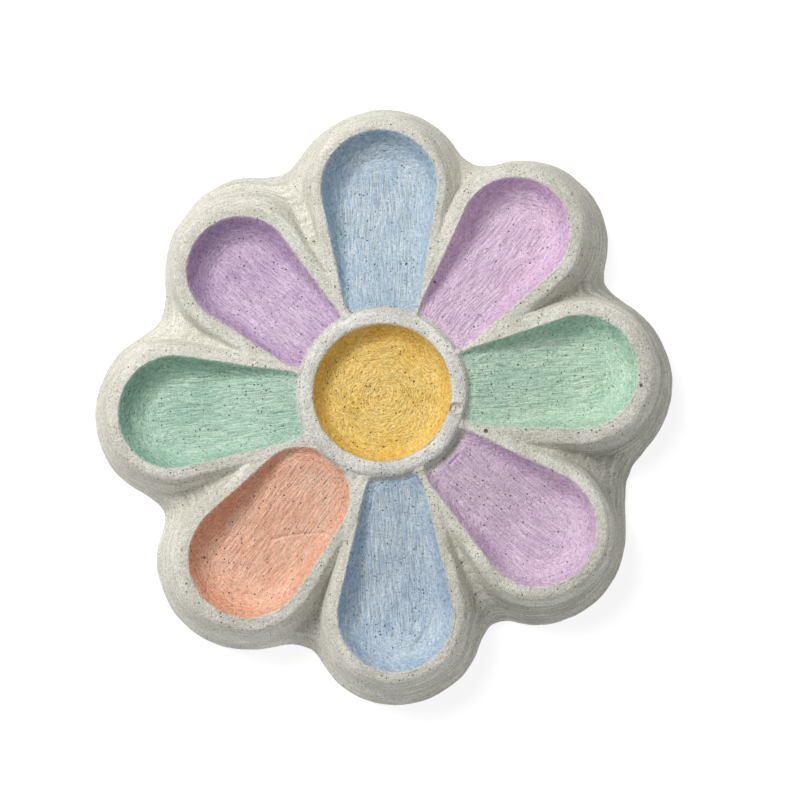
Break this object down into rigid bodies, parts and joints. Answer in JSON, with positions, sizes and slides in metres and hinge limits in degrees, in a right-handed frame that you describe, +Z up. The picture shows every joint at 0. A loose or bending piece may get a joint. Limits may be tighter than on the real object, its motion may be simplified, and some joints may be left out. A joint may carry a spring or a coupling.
{
  "type": "mixing palette",
  "caption": "Flower-shaped plaster palette for mixing paint: spoon-shaped petal wells around a ringed centre bowl, each lined with its own pastel coat.",
  "frame": {"origin": "on the flat underside, under the axis of the centre ring", "axes": "+Z up out of the wells; +Y along the north blue petal; +X towards the east green petal"},
  "size_m": [0.1665, 0.1737, 0.02],
  "materials": {
    "plaster": "matt, brushed and pinholed cast plaster, ivory grey",
    "ring_plaster": "matt, pinholed cast plaster, a cooler grey than the dish",
    "blue_paint": "dried pastel blue paint, satin, with brush ridges",
    "violet_paint": "dried pastel violet paint, satin, with brush ridges",
    "green_paint": "dried pastel mint green paint, satin, with brush ridges",
    "coral_paint": "dried pastel coral paint, satin, with brush ridges",
    "yellow_paint": "dried warm yellow paint, satin, with swirled brush marks"
  },
  "bodies": {
    "root": {"plaster_dish": "plaster", "centre_ring": "ring_plaster", "coat_centre_yellow": "yellow_paint", "coat_north_blue": "blue_paint", "coat_south_blue": "blue_paint", "coat_north_east_violet": "violet_paint", "coat_south_east_violet": "violet_paint", "coat_north_west_violet": "violet_paint", "coat_east_green": "green_paint", "coat_west_green": "green_paint", "coat_south_west_coral": "coral_paint"}
  },
  "joints": []
}
